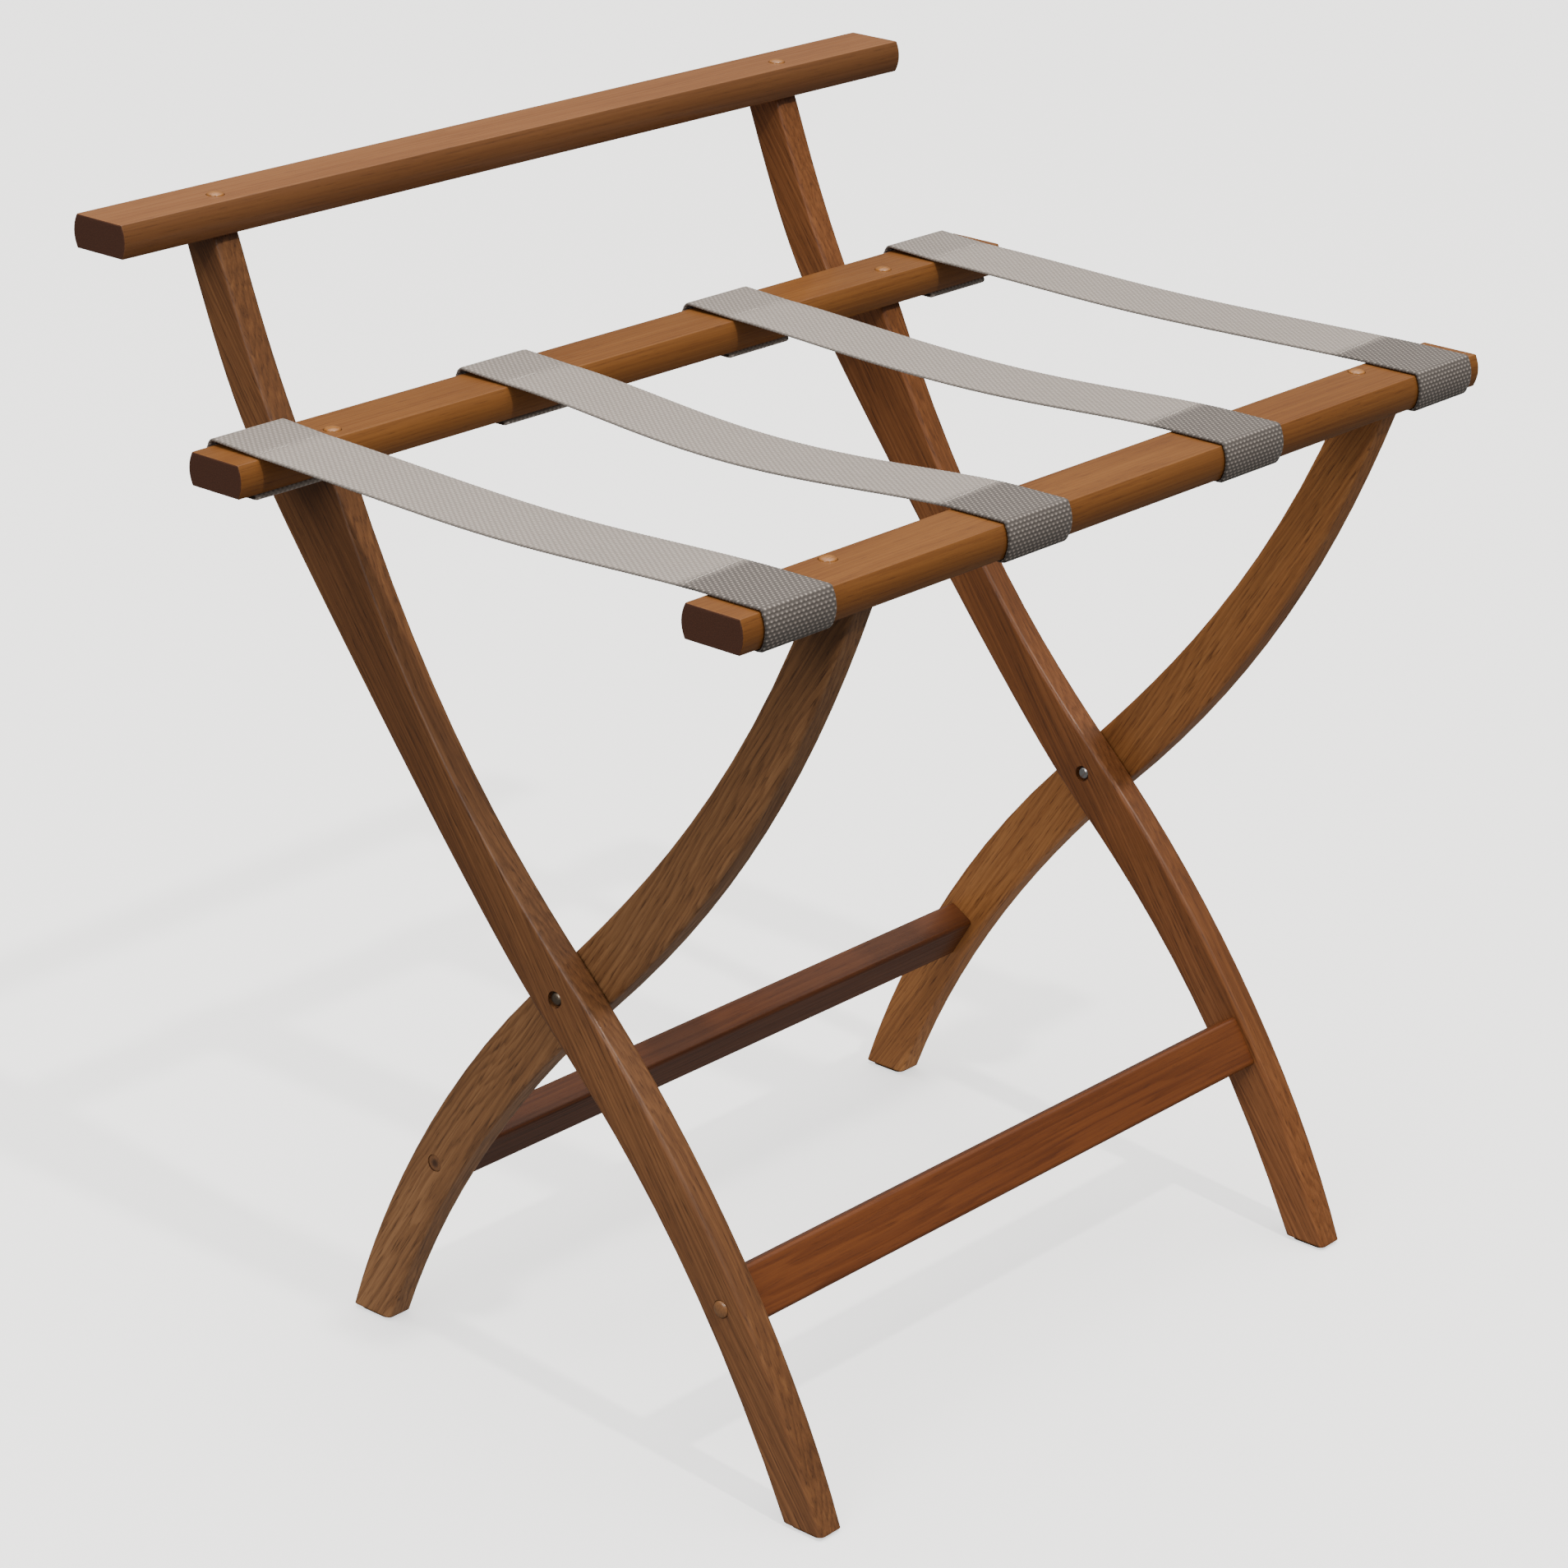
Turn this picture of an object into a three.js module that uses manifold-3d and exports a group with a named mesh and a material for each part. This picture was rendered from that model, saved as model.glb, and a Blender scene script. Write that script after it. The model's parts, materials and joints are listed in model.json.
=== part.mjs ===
// Folding wooden luggage rack with a raised back bar and four webbing straps.
// Millimetres, +Z up, floor at z = 0. X runs along the rails, -Y is the low front,
// +Y is the rear with the raised bar.
import * as THREE from 'three';
import { mergeVertices, toCreasedNormals } from 'three/addons/utils/BufferGeometryUtils.js';
import Module from 'manifold-3d';

const wasm = await Module();
wasm.setup();
const { Manifold, Mesh: SolidMesh } = wasm;

// ---------- driving dimensions ----------
const GAP = 0.3; // between pieces that touch
const RUN = 0.08; // radial clearance of the pivot pins

// rails: flat top and underside, bowed front and rear sides
const RAIL = { length: 610, height: 18, flat: 32.4, bow: 2.1, edge: 0.9 };
const TOP_BAR = { y: 209.8, z: 593.4 }; // centre line, underside
const REAR_RAIL = { y: 128, z: 486.2 };
const FRONT_RAIL = { y: -203, z: 487.4 };

// legs: each frame has two, and the front frame stands one pitch further along +X
const LEG = { thick: 17, edge: 2.6, between: 0.7, outer: 237.5 };
const PITCH = LEG.thick + LEG.between;
const FOOT_Z = 2.3; // sawn foot, above its glide
const PIVOT = { y: -43.6, z: 240.6 };
const X_LONG = [-LEG.outer, LEG.outer - PITCH - LEG.thick]; // -X faces of the long legs
const X_SHORT = X_LONG.map((x) => x + PITCH);

// stretchers: flat bars between the legs of one frame, set along the slope of the leg
const STRETCHER = { wide: 29, thick: 18, edge: 2.4 };
const FRONT_STRETCHER = { y: -159.5, z: 107.5, slope: 57 };
const REAR_STRETCHER = { y: 59.6, z: 108.6, slope: 120 };

// screws under button plugs
const SCREW = { r: 2, headR: 4, headH: 3, length: 38, hole: 2.3 };
const PLUG = { r: 4.6, bore: 4.9, depth: 8, dome: 1.7 };

// pivot pins
const PIN = { r: 2.5, headR: 3.9, headH: 2, sink: 2.4, bore: 4.6 };
const WASHER = { rIn: 2.9, rOut: 8, thick: 1, sink: 0.9 };

// webbing
const STRAP = { wide: 50.8, thick: 1.8, under: 31 };
const STRAP_X = [-266, -86.5, 93.5, 270];
const STRAP_SAG = [4.5, 9, 6, 3];
const STAPLE = { crown: 24, wire: 1.2, leg: 8, inset: 7 };

// glides: from and to are their ends along Y under each frame's feet
const GLIDE = { wide: 12, thick: 2, round: 4 };
const GLIDE_Y = { front: [-226.5, -205.5], rear: [97.5, 119.5] };

// ---------- materials ----------
const material = (color, roughness, metalness) =>
  new THREE.MeshStandardMaterial({ color, roughness, metalness });
const OAK = material(0x8a5a34, 0.5, 0);
const BEECH = material(0xa0622f, 0.48, 0);
const BUTTON = material(0xb98a55, 0.45, 0);
const BUTTON_DARK = material(0x5f4028, 0.5, 0);
const STEEL = material(0x9a9a98, 0.35, 0.9);
const PIN_STEEL = material(0xc4c4c2, 0.25, 0.95);
const NYLON = material(0x2c2a28, 0.6, 0);
const FELT = material(0x2a231f, 0.9, 0);
const WEBBING = material(0xa9a39d, 0.85, 0);

// ---------- solid helpers ----------
const V2 = (y, z) => new THREE.Vector2(y, z);
// sends a section drawn in (y, z) and extruded upwards to one extruded along +X
const ALONG_X = new THREE.Matrix4().makeBasis(
  new THREE.Vector3(0, 1, 0),
  new THREE.Vector3(0, 0, 1),
  new THREE.Vector3(1, 0, 0),
);

function toSolid(geometry) {
  const bare = new THREE.BufferGeometry();
  bare.setAttribute('position', geometry.getAttribute('position'));
  if (geometry.index) bare.setIndex(geometry.index);
  const g = mergeVertices(bare, 1e-4);
  return new Manifold(new SolidMesh({
    numProp: 3,
    vertProperties: new Float32Array(g.getAttribute('position').array),
    triVerts: new Uint32Array(g.index.array),
  }));
}

// a named mesh, drawn about its own centre and put back where the solid stands
function toMesh(name, solid, mat, crease = 0.6) {
  const m = solid.getMesh();
  const g = new THREE.BufferGeometry();
  g.setAttribute('position', new THREE.BufferAttribute(new Float32Array(m.vertProperties), 3));
  g.setIndex(new THREE.BufferAttribute(new Uint32Array(m.triVerts), 1));
  g.computeBoundingBox();
  const centre = g.boundingBox.getCenter(new THREE.Vector3());
  g.translate(-centre.x, -centre.y, -centre.z);
  const mesh = new THREE.Mesh(toCreasedNormals(g, crease), mat);
  mesh.name = name;
  mesh.position.copy(centre);
  return mesh;
}

// a section in (y, z) run from x0 over a length, with its long edges rounded by `edge`
function runAlongX(shape, x0, length, edge = 0, segments = 3) {
  const g = new THREE.ExtrudeGeometry(shape, {
    depth: length - 2 * edge,
    bevelEnabled: edge > 0,
    bevelThickness: edge,
    bevelSize: edge,
    bevelOffset: -edge,
    bevelSegments: segments,
    curveSegments: 14,
  });
  g.applyMatrix4(ALONG_X);
  g.translate(x0 + edge, 0, 0);
  return toSolid(g);
}

function block(x0, x1, y0, y1, z0, z1) {
  return toSolid(new THREE.BoxGeometry(x1 - x0, y1 - y0, z1 - z0)
    .translate((x0 + x1) / 2, (y0 + y1) / 2, (z0 + z1) / 2));
}

// a round bar along X from x0 to x1
function rodX(x0, x1, y, z, r, sides = 32) {
  return toSolid(new THREE.CylinderGeometry(r, r, x1 - x0, sides)
    .rotateZ(Math.PI / 2).translate((x0 + x1) / 2, y, z));
}

// a round bar along +Z from z0 to z1, on the axis
function rodZ(z0, z1, r, sides = 28) {
  return toSolid(new THREE.CylinderGeometry(r, r, z1 - z0, sides)
    .rotateX(Math.PI / 2).translate(0, 0, (z0 + z1) / 2));
}

// a turned piece: profile points are [radius, height], axis +Z, base at the origin
function turned(profile, sides = 20) {
  return toSolid(new THREE.LatheGeometry(profile.map(([r, h]) => V2(r, h)), sides)
    .rotateX(Math.PI / 2));
}

// points a turned piece that was made along +Z so that it looks along `face`
const FACING = { up: [0, 0, 0], left: [0, -90, 0], right: [0, 90, 0] };
const aim = (solid, face, at) => solid.rotate(FACING[face]).translate(at);

// ---------- rails ----------
// half of the bowed side as an arc: its radius and the angle from the middle to the edge
const CHORD = RAIL.height - 2 * RAIL.edge;
const BOW_R = CHORD ** 2 / (8 * RAIL.bow) + RAIL.bow / 2;
const BOW_A = Math.asin(CHORD / 2 / BOW_R);

// the rail's side from underside to top at distance `out` from the wood, side = +1 or -1
function bowedSide(rail, side, out, steps = 8) {
  const zMid = rail.z + RAIL.height / 2;
  const yArc = rail.y + side * (RAIL.flat / 2 + RAIL.edge + RAIL.bow - BOW_R);
  const points = [];
  const corner = (angle, up) => V2(
    rail.y + side * (RAIL.flat / 2 + (RAIL.edge + out) * Math.cos(angle)),
    zMid + up * (RAIL.height / 2 - RAIL.edge + (RAIL.edge + out) * Math.sin(angle)),
  );
  for (let i = 0; i < 4; i++) {
    points.push(corner(Math.PI / 2 + (BOW_A - Math.PI / 2) * (i / 3), -1));
  }
  for (let i = 1; i < steps; i++) {
    const a = -BOW_A + (2 * BOW_A * i) / steps;
    const r = BOW_R + out;
    points.push(V2(yArc + side * r * Math.cos(a), zMid + r * Math.sin(a)));
  }
  for (let i = 3; i >= 0; i--) {
    points.push(corner(Math.PI / 2 + (BOW_A - Math.PI / 2) * (i / 3), 1));
  }
  return points;
}

function railSolid(rail) {
  const section = [...bowedSide(rail, 1, 0), ...bowedSide(rail, -1, 0).reverse()];
  return runAlongX(new THREE.Shape(section), -RAIL.length / 2, RAIL.length, 0.8, 2);
}

// ---------- legs ----------
// Both edges of a leg are cubic curves that sweep from a steep foot, through a flatter
// middle at the pivot, to a steep top. Each line: two handles, then the end point.
function sweep(shape, ...curves) {
  for (const c of curves) shape.bezierCurveTo(...c);
  return shape;
}

// long leg: front foot to top bar, with a shoulder that carries the rear seat rail in a
// notch cut from `notch` in front of the wood to just behind the rail
const SHOULDER = { front: 115.5, back: 148, z: REAR_RAIL.z - GAP, notch: [90, 149.2], notchTop: 497 };
function longLegShape() {
  const s = new THREE.Shape();
  s.moveTo(-234.5, -12);
  s.lineTo(-229.8, 0);
  sweep(s,
    [-196.9, 86.5, -134.4, 175.5, -67.7, 240],
    [-25.8, 280.4, 47.8, 340.3, SHOULDER.front, 486]);
  s.lineTo(SHOULDER.front + 2, 491);
  s.lineTo(SHOULDER.back + 3.6, 491);
  sweep(s, [179, 541.2, 192.8, 582.3, 197.8, 593]);
  s.lineTo(203, 605);
  s.lineTo(228.4, 605);
  s.lineTo(223.6, 593);
  sweep(s,
    [194.3, 518.6, 184.5, 494.5, 139, 435],
    [96.4, 379.5, 20.5, 283.2, -21.2, 240],
    [-56, 204, -132, 149, -204, 0]);
  s.lineTo(-209.5, -12);
  s.closePath();
  return s;
}

// short leg: rear foot to front seat rail
function shortLegShape() {
  const s = new THREE.Shape();
  s.moveTo(127, -12);
  s.lineTo(122.9, 0);
  sweep(s,
    [111.9, 36.3, 76.2, 136.1, -10.8, 228.9],
    [-65.2, 287, -140.5, 361.9, -188.8, 487]);
  s.lineTo(-192.6, 498);
  s.lineTo(-220.2, 498);
  s.lineTo(-216.3, 487);
  sweep(s,
    [-182.9, 392.7, -137, 311.4, -56.3, 229.5],
    [7.8, 164.5, 64.4, 85.7, 95.2, 0]);
  s.lineTo(99.5, -12);
  s.closePath();
  return s;
}

// sawn leg blank between two heights, with the pivot hole
function legSolid(shape, x0, zTop) {
  const x1 = x0 + LEG.thick;
  const reach = RAIL.length;
  return runAlongX(shape, x0, LEG.thick, LEG.edge)
    .intersect(block(x0 - 1, x1 + 1, -reach, reach, FOOT_Z, zTop))
    .subtract(rodX(x0 - 1, x1 + 1, PIVOT.y, PIVOT.z, PIN.r + RUN, 40));
}

// ---------- fasteners ----------
// A screw under a button plug. `frame` is the frame it belongs to, `face` is the way the
// plug looks, `at` is the point of the wood's surface on the axis, and `flush` plugs stay
// just below that surface.
const fastenings = [];
function fastening(frame, name, at, face, flush = false) {
  fastenings.push({ frame, name, at, face, flush });
}

function screwBore({ at, face }) {
  const head = rodZ(-PLUG.depth, 5, PLUG.bore);
  const shank = rodZ(-PLUG.depth - SCREW.length - 1, -PLUG.depth + 1, SCREW.hole, 20);
  return aim(head.add(shank), face, at);
}

function screwSolid({ at, face }) {
  const top = -PLUG.depth + GAP + SCREW.headH;
  const { r, headR, headH, length } = SCREW;
  const profile = [
    [0, top - length], [r * 0.35, top - length + 1.6], [r, top - length + 5],
    [r, top - headH], [headR, top - headH], [headR, top - 0.8], [headR - 0.8, top], [0, top],
  ];
  const slot = block(-0.5, 0.5, -2.4, 2.4, top - 1.2, top + 1);
  return aim(turned(profile, 20).subtract(slot).subtract(slot.rotate([0, 0, 90])), face, at);
}

function plugSolid({ at, face, flush }) {
  const low = -PLUG.depth + GAP + SCREW.headH + GAP;
  const dome = flush ? 0.3 : PLUG.dome;
  const base = flush ? -0.5 : 0;
  const profile = [[0, low], [PLUG.r - 0.4, low], [PLUG.r, low + 0.5], [PLUG.r, base]];
  for (let i = 1; i <= 5; i++) {
    const a = (Math.PI / 2) * (i / 5);
    profile.push([i === 5 ? 0 : PLUG.r * Math.cos(a), base + dome * Math.sin(a)]);
  }
  return aim(turned(profile, 24), face, at);
}

// ---------- fixed positions of the ten screws ----------
const mid = (x0) => x0 + LEG.thick / 2;
const SIDES = ['left', 'right'];
const TOP_Y = { bar: 206, rear: 122, front: -193 };
const STRETCHER_PLUG = { front: [-159.3, 106.5], rear: [59.4, 108] };
const outer = (x0) => x0 + LEG.thick;
X_LONG.forEach((x, i) => {
  const side = SIDES[i];
  fastening('back', `top_${side}`, [mid(x), TOP_Y.bar, TOP_BAR.z + RAIL.height], 'up');
  fastening('back', `rear_rail_${side}`, [mid(x), TOP_Y.rear, REAR_RAIL.z + RAIL.height], 'up');
});
X_SHORT.forEach((x, i) => {
  const side = SIDES[i];
  fastening('front', `front_rail_${side}`, [mid(x), TOP_Y.front, FRONT_RAIL.z + RAIL.height], 'up');
});
fastening('back', 'front_stretcher_left', [X_LONG[0], ...STRETCHER_PLUG.front], 'left');
fastening('back', 'front_stretcher_right', [outer(X_LONG[1]), ...STRETCHER_PLUG.front], 'right', true);
fastening('front', 'rear_stretcher_left', [X_SHORT[0], ...STRETCHER_PLUG.rear], 'left', true);
fastening('front', 'rear_stretcher_right', [outer(X_SHORT[1]), ...STRETCHER_PLUG.rear], 'right');

const boresFor = (...names) => Manifold.union(
  fastenings.filter((f) => names.some((n) => f.name.startsWith(n))).map(screwBore),
);

// ---------- pivots ----------
const pivotAt = (x) => [x, PIVOT.y, PIVOT.z];
function pinSolid(xLong) {
  const { r, headR, headH } = PIN;
  const tip = -(2 * LEG.thick + LEG.between - PIN.sink + GAP + 1);
  const profile = [
    [0, tip], [r - 0.5, tip], [r, tip + 0.5], [r, -PIN.sink + GAP], [headR, -PIN.sink + GAP],
  ];
  for (let i = 1; i <= 6; i++) {
    const a = (Math.PI / 2) * (i / 6);
    profile.push([i === 6 ? 0 : headR * Math.cos(a), -PIN.sink + GAP + headH * Math.sin(a)]);
  }
  return aim(turned(profile, 24), 'left', pivotAt(xLong));
}

// domed cap pressed over the far end of the pin
function capSolid(xShort) {
  const { r, headR, headH, sink } = PIN;
  const inner = r + 0.2;
  const low = -sink + GAP;
  const profile = [[0, low + 1.3], [inner, low + 1.3], [inner, low], [headR, low]];
  for (let i = 1; i <= 6; i++) {
    const a = (Math.PI / 2) * (i / 6);
    profile.push([i === 6 ? 0 : headR * Math.cos(a), -sink + GAP + 0.4 + headH * Math.sin(a)]);
  }
  return aim(turned(profile, 24), 'right', pivotAt(xShort + LEG.thick));
}

function washerSolid(xShort) {
  const x0 = xShort + WASHER.sink - GAP - WASHER.thick;
  return rodX(x0, x0 + WASHER.thick, PIVOT.y, PIVOT.z, WASHER.rOut)
    .subtract(rodX(x0 - 1, x0 + 3, PIVOT.y, PIVOT.z, WASHER.rIn));
}

const pinSink = (x, face) => aim(rodZ(-PIN.sink, 3, PIN.bore, 32), face, pivotAt(x));
const washerSink = (x) => rodX(x - 1, x + WASHER.sink, PIVOT.y, PIVOT.z, WASHER.rOut + GAP, 36);

// ---------- stretchers ----------
function stretcherSolid({ y, z, slope }, x0, x1) {
  const { wide, thick, edge } = STRETCHER;
  const s = new THREE.Shape();
  const w = wide / 2;
  const t = thick / 2;
  s.moveTo(-w + edge, -t);
  s.lineTo(w - edge, -t);
  s.absarc(w - edge, -t + edge, edge, -Math.PI / 2, 0, false);
  s.absarc(w - edge, t - edge, edge, 0, Math.PI / 2, false);
  s.absarc(-w + edge, t - edge, edge, Math.PI / 2, Math.PI, false);
  s.absarc(-w + edge, -t + edge, edge, Math.PI, 1.5 * Math.PI, false);
  const g = new THREE.ExtrudeGeometry(s, { depth: x1 - x0, bevelEnabled: false, curveSegments: 4 });
  g.rotateZ(THREE.MathUtils.degToRad(slope));
  g.applyMatrix4(ALONG_X);
  g.translate(x0, y, z);
  return toSolid(g);
}

// ---------- webbing straps ----------
// One band: under the front rail, round its outer side, across the span, and the same
// round the rear rail. The same path at two distances from the wood gives both faces.
function strapPath(sag, out) {
  const spanFrom = FRONT_RAIL.y + RAIL.flat / 2;
  const spanTo = REAR_RAIL.y - RAIL.flat / 2;
  const endIn = RAIL.flat / 2 - STRAP.under;
  const zFront = FRONT_RAIL.z + RAIL.height + out;
  const zRear = REAR_RAIL.z + RAIL.height + out;
  const path = [V2(FRONT_RAIL.y - endIn, FRONT_RAIL.z - out), ...bowedSide(FRONT_RAIL, -1, out, 6)];
  const steps = 16;
  for (let i = 0; i <= steps; i++) {
    const t = i / steps;
    const dip = sag * Math.sin(Math.PI * t) ** 1.5;
    path.push(V2(spanFrom + (spanTo - spanFrom) * t, zFront + (zRear - zFront) * t - dip));
  }
  path.push(...bowedSide(REAR_RAIL, 1, out, 6).reverse(), V2(REAR_RAIL.y + endIn, REAR_RAIL.z - out));
  return path;
}

function strapSolid(i) {
  const outline = [
    ...strapPath(STRAP_SAG[i], GAP + STRAP.thick),
    ...strapPath(STRAP_SAG[i], GAP).reverse(),
  ];
  return runAlongX(new THREE.Shape(outline), STRAP_X[i] - STRAP.wide / 2, STRAP.wide);
}

// staples under the rails: where they sit, and the slots that their legs need
const staples = [];
STRAP_X.forEach((x, i) => {
  for (const [end, rail, side] of [['front', FRONT_RAIL, -1], ['rear', REAR_RAIL, 1]]) {
    const y = rail.y + side * (RAIL.flat / 2 - STRAP.under + STAPLE.inset);
    staples.push({ name: `staple_${i + 1}_${end}`, end, strap: i, x, y, z: rail.z });
  }
});

function stapleSolid({ x, y, z }) {
  const { crown, wire, leg } = STAPLE;
  const low = z - GAP - STRAP.thick - GAP - wire;
  const h = crown / 2;
  const bar = block(x - h, x + h, y - wire / 2, y + wire / 2, low, low + wire);
  const prong = (x0) => block(x0, x0 + wire, y - wire / 2, y + wire / 2, low, z + leg);
  return bar.add(prong(x - h)).add(prong(x + h - wire));
}

function stapleSlots({ x, y, z }) {
  const { crown, wire, leg } = STAPLE;
  const slot = (x0) => block(x0 - GAP, x0 + wire + GAP, y - wire / 2 - GAP, y + wire / 2 + GAP,
    z - 6, z + leg + GAP);
  return slot(x - crown / 2).add(slot(x + crown / 2 - wire));
}

const slotsFor = (test) => Manifold.union(staples.filter(test).map(stapleSlots));

// ---------- glides ----------
function glideSolid(xLeg, y0, y1) {
  const { wide, thick, round } = GLIDE;
  const w = wide / 2 - round;
  const h = (y1 - y0) / 2 - round;
  const s = new THREE.Shape();
  s.absarc(w, h, round, 0, Math.PI / 2, false);
  s.absarc(-w, h, round, Math.PI / 2, Math.PI, false);
  s.absarc(-w, -h, round, Math.PI, 1.5 * Math.PI, false);
  s.absarc(w, -h, round, 1.5 * Math.PI, 2 * Math.PI, false);
  const g = new THREE.ExtrudeGeometry(s, { depth: thick, bevelEnabled: false, curveSegments: 6 });
  return toSolid(g.translate(mid(xLeg), (y0 + y1) / 2, 0));
}

// ---------- assembly ----------
// back frame: long legs, top bar, rear seat rail and front stretcher, with the straps;
// front frame: short legs, front seat rail and rear stretcher
const rack = new THREE.Group();
rack.name = 'folding_luggage_rack';
const frames = { back: new THREE.Group(), front: new THREE.Group() };
rack.add(frames.back, frames.front);
const add = (frame, name, solid, mat, crease) => frames[frame].add(toMesh(name, solid, mat, crease));

add('back', 'top_bar', railSolid(TOP_BAR).subtract(boresFor('top')), BEECH);
add('back', 'rear_seat_rail', railSolid(REAR_RAIL)
  .subtract(boresFor('rear_rail')).subtract(slotsFor((s) => s.end === 'rear')), BEECH);
add('front', 'front_seat_rail', railSolid(FRONT_RAIL)
  .subtract(boresFor('front_rail')).subtract(slotsFor((s) => s.end === 'front')), BEECH);

X_LONG.forEach((x, i) => {
  const notch = block(x - 1, outer(x) + 1, ...SHOULDER.notch, SHOULDER.z, SHOULDER.notchTop);
  const leg = legSolid(longLegShape(), x, TOP_BAR.z - GAP)
    .subtract(notch)
    .subtract(boresFor('top', 'rear_rail', 'front_stretcher'))
    .subtract(pinSink(x, 'left'));
  add('back', `long_leg_${SIDES[i]}`, leg, OAK);
});
X_SHORT.forEach((x, i) => {
  const leg = legSolid(shortLegShape(), x, FRONT_RAIL.z - GAP)
    .subtract(boresFor('front_rail', 'rear_stretcher'))
    .subtract(pinSink(outer(x), 'right'))
    .subtract(washerSink(x));
  add('front', `short_leg_${SIDES[i]}`, leg, OAK);
});

const between = ([left, right]) => [outer(left) + GAP, right - GAP];
add('back', 'front_stretcher', stretcherSolid(FRONT_STRETCHER, ...between(X_LONG))
  .subtract(boresFor('front_stretcher')), BEECH);
add('front', 'rear_stretcher', stretcherSolid(REAR_STRETCHER, ...between(X_SHORT))
  .subtract(boresFor('rear_stretcher')), BEECH);

for (const f of fastenings) {
  add(f.frame, `screw_${f.name}`, screwSolid(f), STEEL);
  add(f.frame, `plug_${f.name}`, plugSolid(f), f.flush ? BUTTON_DARK : BUTTON);
}

// the pins and their caps stay with the long legs, the washers sit in the short legs
SIDES.forEach((side, i) => {
  add('back', `pivot_pin_${side}`, pinSolid(X_LONG[i]), PIN_STEEL);
  add('back', `pivot_cap_${side}`, capSolid(X_SHORT[i]), PIN_STEEL);
  add('front', `pivot_washer_${side}`, washerSolid(X_SHORT[i]), NYLON);
});

STRAP_X.forEach((x, i) => {
  const strap = strapSolid(i).subtract(slotsFor((s) => s.strap === i));
  add('back', `strap_${i + 1}`, strap, WEBBING, 1.2);
});
for (const s of staples) add(s.end === 'front' ? 'front' : 'back', s.name, stapleSolid(s), STEEL);

SIDES.forEach((side, i) => {
  add('back', `glide_front_${side}`, glideSolid(X_LONG[i], ...GLIDE_Y.front), FELT);
  add('front', `glide_rear_${side}`, glideSolid(X_SHORT[i], ...GLIDE_Y.rear), FELT);
});

export default rack;
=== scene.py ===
"""Looks of the folding luggage rack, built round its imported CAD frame. Metres, +Z up."""
import json
import math

import bmesh
import bpy
import numpy as np
from mathutils import Matrix, Vector

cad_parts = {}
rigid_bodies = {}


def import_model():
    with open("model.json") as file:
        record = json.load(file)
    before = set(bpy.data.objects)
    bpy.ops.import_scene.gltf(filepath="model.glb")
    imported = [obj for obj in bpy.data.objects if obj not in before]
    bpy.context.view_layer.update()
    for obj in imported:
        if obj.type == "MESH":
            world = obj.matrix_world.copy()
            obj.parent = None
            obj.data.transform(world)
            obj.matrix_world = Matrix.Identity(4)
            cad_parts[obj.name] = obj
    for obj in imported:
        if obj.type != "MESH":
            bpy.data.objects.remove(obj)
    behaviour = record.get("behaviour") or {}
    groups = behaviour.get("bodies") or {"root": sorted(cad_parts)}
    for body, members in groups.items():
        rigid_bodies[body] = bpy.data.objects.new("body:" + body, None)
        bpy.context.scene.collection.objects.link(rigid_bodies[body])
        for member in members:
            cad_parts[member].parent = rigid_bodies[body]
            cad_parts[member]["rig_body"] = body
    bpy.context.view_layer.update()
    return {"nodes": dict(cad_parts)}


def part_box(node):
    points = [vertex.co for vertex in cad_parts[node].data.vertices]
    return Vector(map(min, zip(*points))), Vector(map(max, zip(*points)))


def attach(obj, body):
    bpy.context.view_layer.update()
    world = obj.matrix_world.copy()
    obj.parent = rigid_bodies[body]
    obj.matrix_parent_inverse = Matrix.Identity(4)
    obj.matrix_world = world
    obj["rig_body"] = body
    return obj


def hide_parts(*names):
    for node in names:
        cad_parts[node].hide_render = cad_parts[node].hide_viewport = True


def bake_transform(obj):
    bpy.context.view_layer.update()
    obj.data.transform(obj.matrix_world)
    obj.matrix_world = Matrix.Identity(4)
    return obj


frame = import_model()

MM = 0.001

# ---------- camera, lights and floor ----------
CAMERA_PLACE = Vector((-1.8421, -1.5427, 1.2194))
CAMERA_AZIMUTH = math.radians(-49.306)
CAMERA_ELEVATION = math.radians(21.125)
CAMERA_ROLL = math.radians(1.292)
CAMERA_LENS = 108.76
CAMERA_SHIFT = (0.0291, -0.0137)
LIGHT_AIM = Vector((0, 0, 0.35))
KEY_DIRECTION = Vector((-0.15, -0.62, 1.0)).normalized()
KEY_DISTANCE = 12.0  # far enough for nearly parallel shadows
KEY = {"size": 0.45, "power": 800, "color": (1.0, 0.97, 0.93)}
FILL = {"place": (-2.5, -0.4, 1.6), "aim": LIGHT_AIM, "size": 1.4, "power": 22}
FLOOR_GLOW = {  # light coming back up from the floor close by
    "place": (0, 0, 3 * MM), "aim": (0, 0, 1), "size": 1.1, "power": 1.9, "color": (1.0, 0.96, 0.9)}
SKY = (1.0, 0.97, 0.92, 1.0)
SKY_OVERHEAD = 3.7
SKY_ALL_ROUND = 0.15
SKY_FALL = 4.0  # how fast the overhead light dims towards the horizon
BACKDROP = 3.0
FLOOR_SIZE = 14
FLOOR_LIFT = 1.2  # emission that keeps the floor pale

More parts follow.
